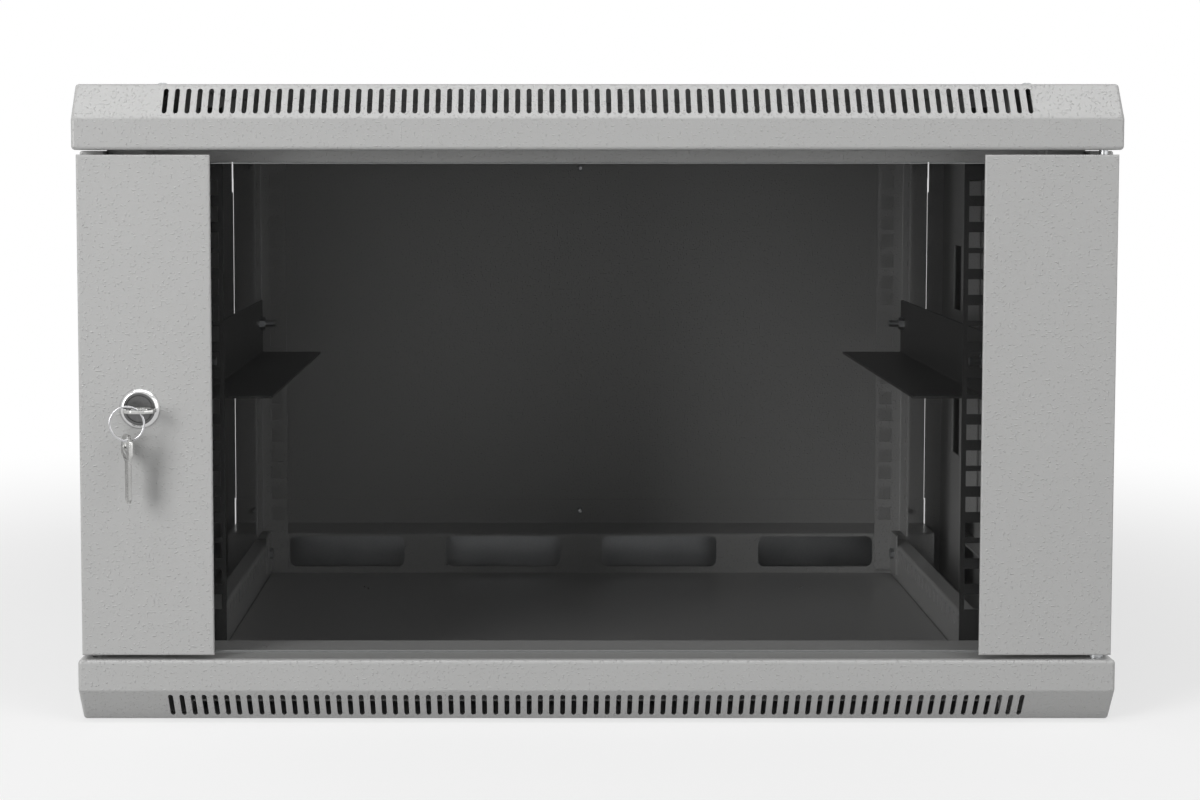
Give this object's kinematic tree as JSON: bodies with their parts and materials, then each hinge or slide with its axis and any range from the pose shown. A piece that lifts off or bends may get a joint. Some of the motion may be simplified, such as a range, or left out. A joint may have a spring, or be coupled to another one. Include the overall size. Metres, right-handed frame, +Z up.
{
  "type": "wall mount network cabinet",
  "caption": "Wall mount network cabinet with a tinted glass door, louvred sloping edges, square-hole rack rails, shelf supports and a keyed cam lock.",
  "frame": {"origin": "middle of the underside, half way between the front face and the back", "axes": "+X right seen from the front, +Y towards the wall, +Z up"},
  "size_m": [0.6, 0.4705, 0.3724],
  "materials": {
    "light_paint": "fine orange-peel powder coat, light grey",
    "inner_paint": "fine orange-peel powder coat, light grey, seen through tinted glass",
    "rail_steel": "dark grey satin powder coat",
    "zinc": "bright zinc plating",
    "chrome": "polished",
    "key_nickel": "nickel plated, slightly worn",
    "spring_steel": "bright spring wire",
    "tinted_glass": "toughened, grey tint, ground edges",
    "foam_tape": "matt black foam adhesive tape"
  },
  "bodies": {
    "cabinet": {"bottom_cover": "light_paint", "top_cover": "light_paint", "side_panel_left": "light_paint", "side_panel_right": "light_paint", "back_panel": "light_paint", "floor_panel": "inner_paint", "rear_frame_bottom": "inner_paint", "rear_frame_top": "inner_paint", "cable_entry_cover_bottom": "inner_paint", "cable_entry_cover_top": "inner_paint", "bottom_channel_left": "inner_paint", "bottom_channel_right": "inner_paint", "top_channel_left": "inner_paint", "top_channel_right": "inner_paint", "rear_post_left": "inner_paint", "rear_post_right": "inner_paint", "front_post_left": "inner_paint", "front_post_right": "inner_paint", "rear_rail_left": "inner_paint", "rear_rail_right": "inner_paint", "front_rail_left": "rail_steel", "front_rail_right": "rail_steel", "shelf_support_left": "rail_steel", "shelf_support_right": "rail_steel", "side_panel_screws": "zinc", "back_panel_screws": "zinc", "wall_bar_bottom": "zinc", "wall_bar_top": "zinc", "cable_entry_screws": "zinc", "top_cover_screws": "zinc", "rail_bolts": "zinc", "rail_nuts": "zinc", "shelf_bolts": "zinc", "shelf_nuts": "zinc", "hinge_pin_bottom": "zinc", "hinge_pin_nut": "zinc", "lock_strike": "zinc"},
    "door": {"door_stile_lock": "light_paint", "door_stile_hinge": "light_paint", "door_glass": "tinted_glass", "glass_tape_left": "foam_tape", "glass_tape_right": "foam_tape", "hinge_pin_bracket": "zinc", "hinge_pin_spring": "spring_steel", "lock_body": "chrome", "lock_nut": "zinc"},
    "lock": {"lock_plug": "chrome", "lock_cam": "zinc", "lock_cam_screw": "zinc"},
    "key": {"key_in_lock": "key_nickel"},
    "key_ring": {"key_ring": "spring_steel"},
    "spare_key": {"spare_key": "key_nickel"},
    "top_hinge_pin": {"hinge_pin_top": "zinc"}
  },
  "joints": [
    {"name": "door_hinge", "type": "hinge", "parent": "cabinet", "child": "door", "pos_m": [0.2906, -0.215, 0], "axis": [0, 0, 1], "range_deg": [0, 180]},
    {"name": "lock_turn", "type": "hinge", "parent": "door", "child": "lock", "pos_m": [-0.2625, -0.224, 0.184], "axis": [0, 1, 0], "range_deg": [0, 90]},
    {"name": "key_pull", "type": "slide", "parent": "lock", "child": "key", "axis": [0, -1, 0], "range_m": [0, 0.03]},
    {"name": "ring_swing", "type": "hinge", "parent": "key", "child": "key_ring", "pos_m": [-0.2675, -0.237, 0.184], "axis": [0, 1, 0], "range_deg": [-25, 25]},
    {"name": "spare_key_swing", "type": "hinge", "parent": "key_ring", "child": "spare_key", "pos_m": [-0.2675, -0.237, 0.16695], "axis": [1, 0, 0], "range_deg": [-60, 8]},
    {"name": "pin_release", "type": "slide", "parent": "door", "child": "top_hinge_pin", "axis": [0, 0, -1], "range_m": [0, 0.007], "stiffness_N_per_m": 400, "springref_m": -0.008, "deforming": ["hinge_pin_spring"]}
  ]
}
